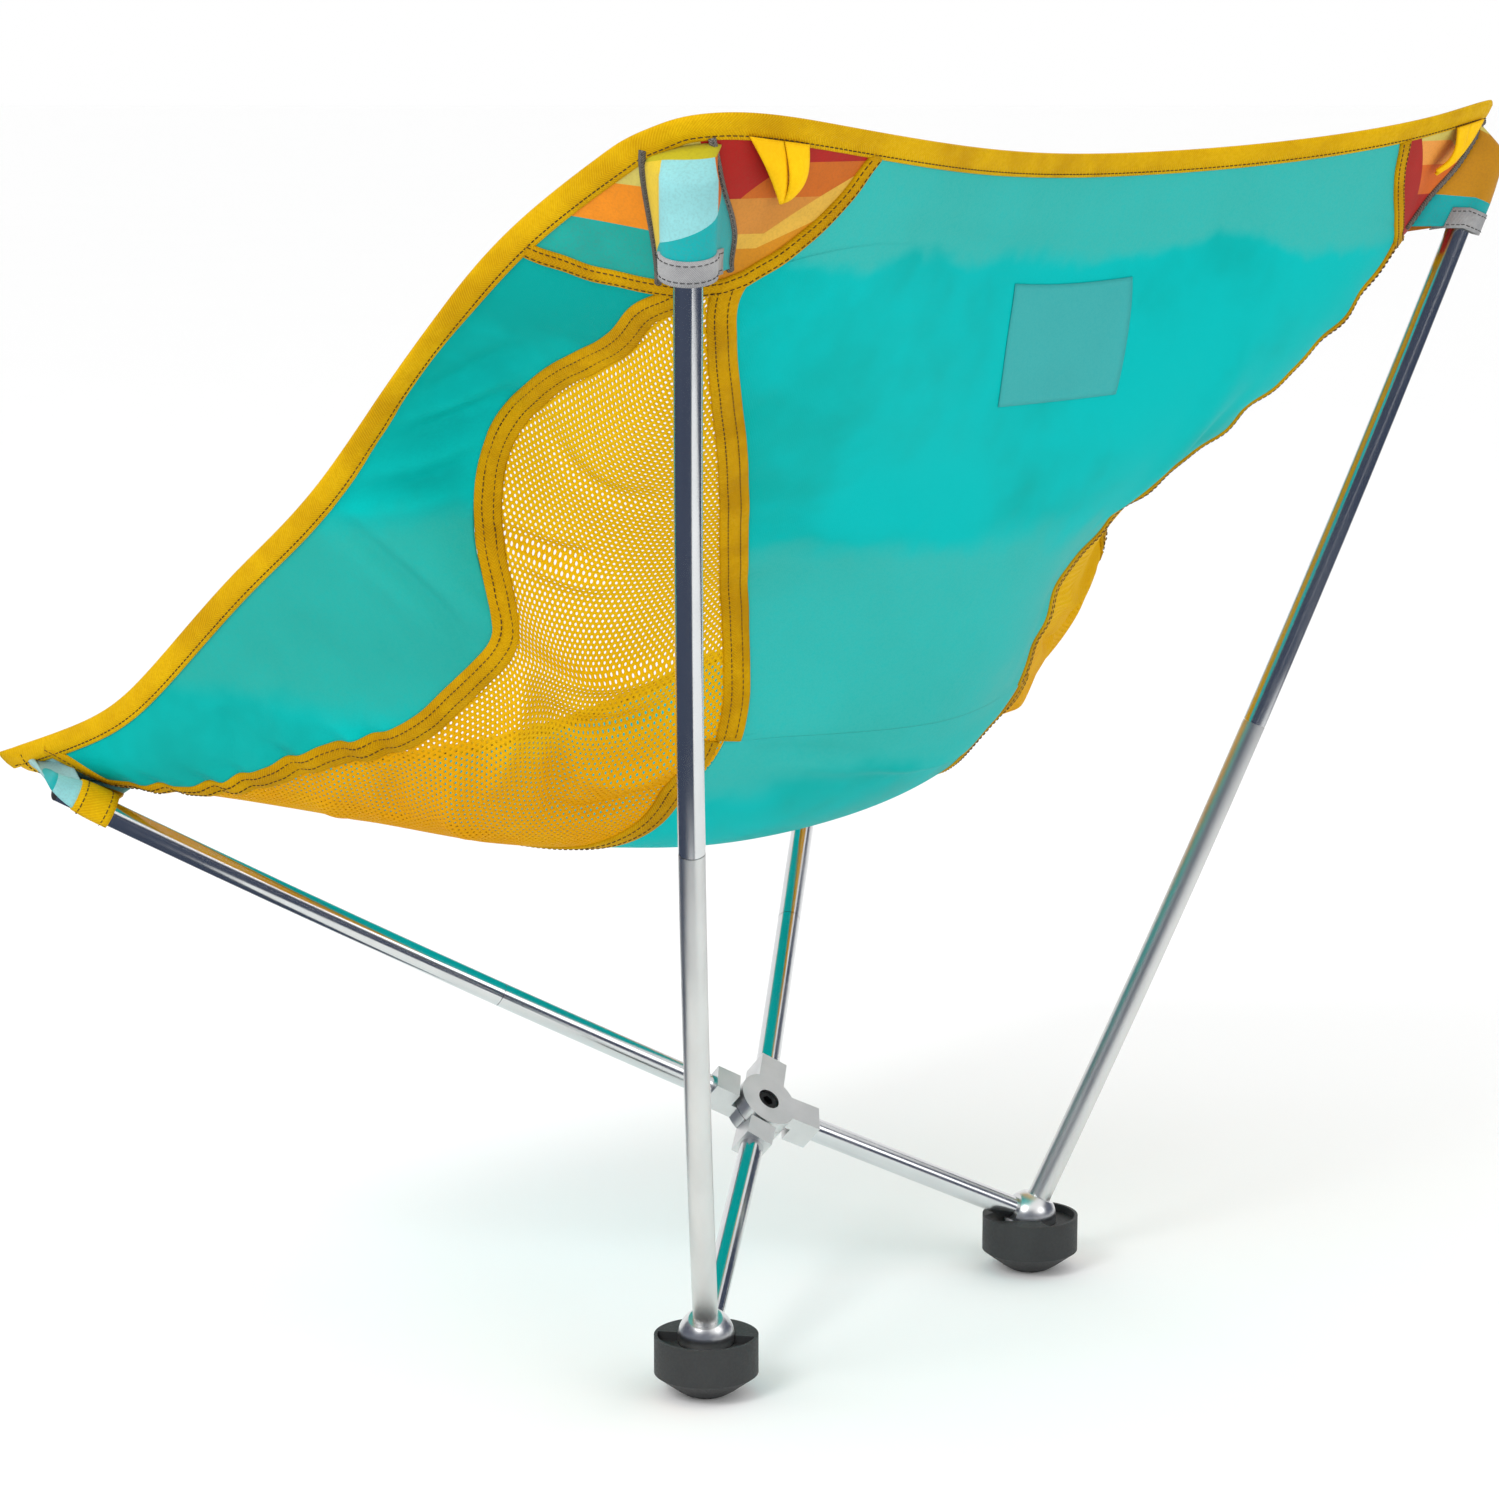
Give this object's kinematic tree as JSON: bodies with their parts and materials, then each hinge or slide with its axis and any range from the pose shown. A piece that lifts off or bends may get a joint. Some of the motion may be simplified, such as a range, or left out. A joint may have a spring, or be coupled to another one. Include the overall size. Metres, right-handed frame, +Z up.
{
  "type": "folding camp chair",
  "caption": "Ultralight two-legged camp chair with crossed aluminium poles, a pivot hub, ball feet and a fabric sling seat.",
  "frame": {"origin": "middle of the chair footprint box, on the floor", "axes": "+Z up, the chair faces -Y, +X is the sitter's left"},
  "size_m": [0.6276, 0.4861, 0.6014],
  "materials": {
    "teal_cloth": "plain woven polyester, soft brushed face",
    "yellow_mesh": "knitted mesh with rounded holes",
    "yellow_webbing": "twill binding tape, stitched",
    "silver_tape": "woven edge tape",
    "printed_lining": "plain weave with a geometric colour print",
    "label_cloth": "blank heat-pressed patch",
    "pole_aluminium": "drawn, clear anodised",
    "ball_aluminium": "turned and polished",
    "hub_aluminium": "machined, satin",
    "fastener_steel": "black oxide",
    "cap_plastic": "moulded",
    "shock_cord": "braided sheath",
    "shoe_rubber": "moulded, matt"
  },
  "bodies": {
    "right_frame": {"back_binding": "yellow_webbing", "back_panel": "teal_cloth", "foot_ball_right": "ball_aluminium", "foot_pole_right": "pole_aluminium", "front_binding": "yellow_webbing", "front_corner_lining_left": "printed_lining", "front_corner_lining_right": "printed_lining", "front_ferrule_right": "pole_aluminium", "front_pocket_hem_right": "yellow_webbing", "front_pocket_right": "printed_lining", "front_pole_cap_right": "cap_plastic", "front_pole_lower_right": "pole_aluminium", "front_pole_upper_right": "pole_aluminium", "front_shock_cord_right": "shock_cord", "hub_bolt": "fastener_steel", "hub_nut": "fastener_steel", "hub_upper_plate": "hub_aluminium", "label_patch": "label_cloth", "mesh_panel_left": "yellow_mesh", "mesh_panel_right": "yellow_mesh", "panel_seam_tape_left": "yellow_webbing", "panel_seam_tape_right": "yellow_webbing", "pull_loop_left": "yellow_webbing", "pull_loop_right": "yellow_webbing", "rear_corner_lining_left": "printed_lining", "rear_corner_lining_right": "printed_lining", "rear_ferrule_right": "pole_aluminium", "rear_pocket_hem_right": "silver_tape", "rear_pocket_right": "printed_lining", "rear_pole_cap_right": "cap_plastic", "rear_pole_lower_right": "pole_aluminium", "rear_pole_upper_right": "pole_aluminium", "rear_shock_cord_right": "shock_cord", "seat_panel": "teal_cloth", "side_binding_left": "yellow_webbing", "side_binding_right": "yellow_webbing", "side_strip_left": "teal_cloth", "side_strip_right": "teal_cloth", "strip_seam_tape_left": "yellow_webbing", "strip_seam_tape_right": "yellow_webbing"},
    "left_frame": {"foot_ball_left": "ball_aluminium", "foot_pole_left": "pole_aluminium", "front_ferrule_left": "pole_aluminium", "front_pocket_hem_left": "yellow_webbing", "front_pocket_left": "printed_lining", "front_pole_cap_left": "cap_plastic", "front_pole_lower_left": "pole_aluminium", "front_pole_upper_left": "pole_aluminium", "front_shock_cord_left": "shock_cord", "rear_ferrule_left": "pole_aluminium", "rear_pocket_hem_left": "silver_tape", "rear_pocket_left": "printed_lining", "rear_pole_cap_left": "cap_plastic", "rear_pole_lower_left": "pole_aluminium", "rear_pole_upper_left": "pole_aluminium", "rear_shock_cord_left": "shock_cord", "hub_lower_plate": "hub_aluminium"},
    "left_shoe": {"foot_shoe_left": "shoe_rubber"},
    "right_shoe": {"foot_shoe_right": "shoe_rubber"}
  },
  "joints": [
    {"name": "hub_pivot", "type": "hinge", "parent": "right_frame", "child": "left_frame", "pos_m": [0, -0.00032, 0.09852], "axis": [0, 0.682, 0.7314], "range_deg": [-18, 0], "deforming": ["back_binding", "back_panel", "front_binding", "front_corner_lining_left", "front_corner_lining_right", "label_patch", "mesh_panel_left", "mesh_panel_right", "panel_seam_tape_left", "panel_seam_tape_right", "pull_loop_left", "pull_loop_right", "rear_corner_lining_left", "rear_corner_lining_right", "seat_panel", "side_binding_left", "side_binding_right", "side_strip_left", "side_strip_right", "strip_seam_tape_left", "strip_seam_tape_right"]},
    {"name": "left_shoe_rock", "type": "hinge", "parent": "left_frame", "child": "left_shoe", "pos_m": [0.128, 0.0753, 0.028], "axis": [1, 0, 0], "range_deg": [-15, 15]},
    {"name": "right_shoe_rock", "type": "hinge", "parent": "right_frame", "child": "right_shoe", "pos_m": [-0.128, 0.0753, 0.028], "axis": [1, 0, 0], "range_deg": [-15, 15]}
  ]
}
